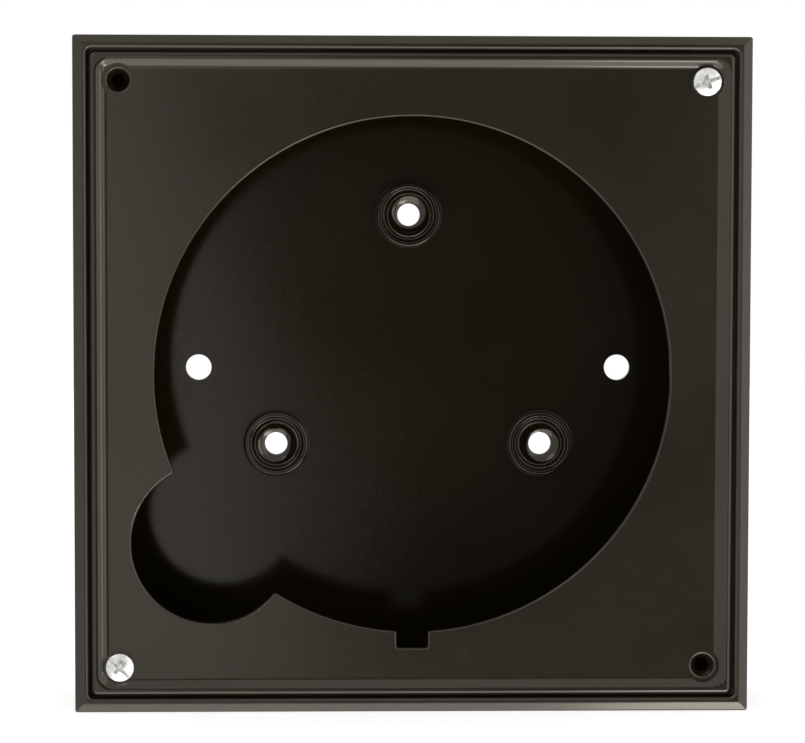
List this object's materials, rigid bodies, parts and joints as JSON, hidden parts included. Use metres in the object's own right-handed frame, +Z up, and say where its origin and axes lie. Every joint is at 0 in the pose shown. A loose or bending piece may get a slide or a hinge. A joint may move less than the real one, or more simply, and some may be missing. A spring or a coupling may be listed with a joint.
{
  "type": "surface conduit box",
  "caption": "Square surface conduit box with a recessed cover, a round device opening with a side lobe, dished device bosses and wall fixing holes.",
  "frame": {"origin": "centre of the wall face", "axes": "+Z up, +Y into the wall, the open front faces -Y, +X to the right as the box is seen"},
  "size_m": [0.2, 0.05, 0.2],
  "materials": {
    "dark_paint": "satin dark bronze",
    "zinc": "bright zinc"
  },
  "bodies": {
    "root": {"back_box": "dark_paint", "cover_plate": "dark_paint", "screw_upper_right": "zinc", "screw_lower_left": "zinc"}
  },
  "joints": []
}
